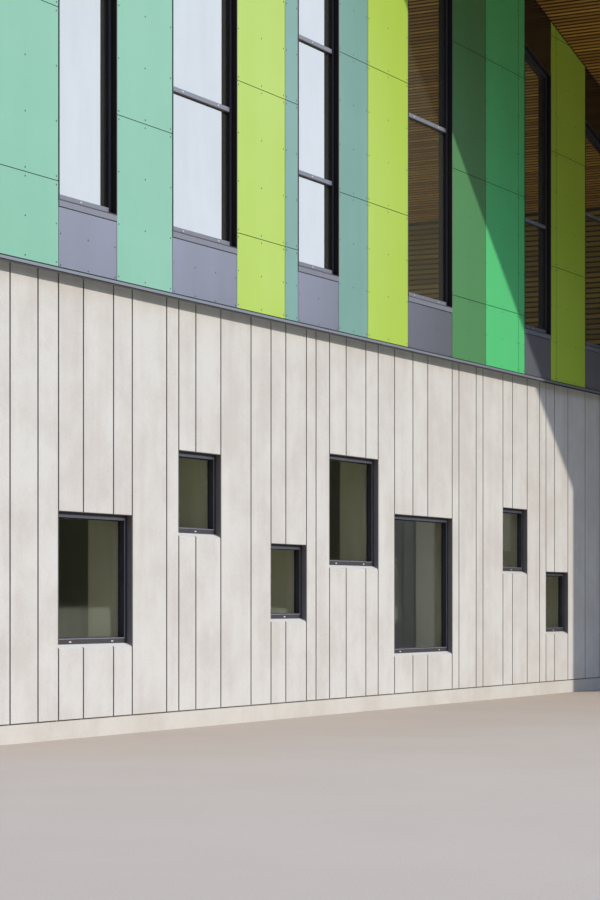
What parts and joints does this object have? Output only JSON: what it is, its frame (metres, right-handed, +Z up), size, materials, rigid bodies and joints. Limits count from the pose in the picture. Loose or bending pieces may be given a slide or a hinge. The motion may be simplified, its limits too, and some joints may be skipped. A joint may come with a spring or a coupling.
{
  "type": "school building",
  "caption": "School building with a grooved concrete ground storey, a coloured panel upper storey with tall windows and a raked roof over a court.",
  "frame": {"origin": "ground level, in the middle of the building's plan", "axes": "+X along the front towards the wing, where the roof is lowest; +Y from the front to the back; +Z up"},
  "size_m": [29.06, 17.4, 15.5751],
  "materials": {
    "wall_concrete": "light cast concrete, matt, faintly mottled",
    "plinth_concrete": "cast concrete, matt",
    "floor_concrete": "smooth concrete floor",
    "wall_backing": "dark wind barrier behind the panels",
    "mint_panel": "painted facade board, satin",
    "lime_panel": "painted facade board, satin",
    "teal_panel": "painted facade board, satin",
    "moss_panel": "painted facade board, satin",
    "green_panel": "painted facade board, satin",
    "grey_panel": "painted facade board, satin",
    "dark_panel": "painted facade board, satin",
    "dark_metal": "powder coated, anthracite, satin",
    "grey_metal": "powder coated, mid grey, satin",
    "light_metal": "mill finish, folded sheet",
    "steel": "brushed",
    "window_glass": "clear insulating glass",
    "timber": "oiled boards",
    "painted_timber": "inner window frames, painted off-white",
    "roof_structure": "timber roof elements",
    "roofing": "grey roofing felt"
  },
  "bodies": {
    "root": {"canopy_soffit_boards": "timber", "concrete_wall_back": "wall_concrete", "concrete_wall_court": "wall_concrete", "concrete_wall_front": "wall_concrete", "concrete_wall_left": "wall_concrete", "concrete_wall_right": "wall_concrete", "concrete_wall_wing": "wall_concrete", "door_frame": "dark_metal", "door_glass": "window_glass", "door_handles": "steel", "door_hinges": "steel", "door_leaves": "dark_metal", "drip_strip": "light_metal", "ground_floor_slab": "floor_concrete", "ground_window_frames": "grey_metal", "ground_window_glass": "window_glass", "ground_window_linings": "painted_timber", "panels_green": "green_panel", "panels_grey": "grey_panel", "panels_lime": "lime_panel", "panels_mint": "mint_panel", "panels_moss": "moss_panel", "panels_teal": "teal_panel", "plinth": "plinth_concrete", "roof_deck_main": "roof_structure", "roof_deck_wing": "roof_structure", "roof_edge_upstand": "roofing", "roof_fascia": "dark_metal", "roof_membrane": "roofing", "tall_window_frames": "grey_metal", "tall_window_glass": "window_glass", "tall_window_sills": "grey_metal", "tall_window_transoms": "grey_metal", "timber_wall_boards": "timber", "upper_floor_slab": "floor_concrete", "upper_wall_back": "wall_backing", "upper_wall_court": "wall_backing", "upper_wall_front": "wall_backing", "upper_wall_left": "wall_backing", "upper_wall_right": "wall_backing", "upper_wall_wing": "wall_backing", "window_head_panels": "dark_panel"}
  },
  "joints": []
}
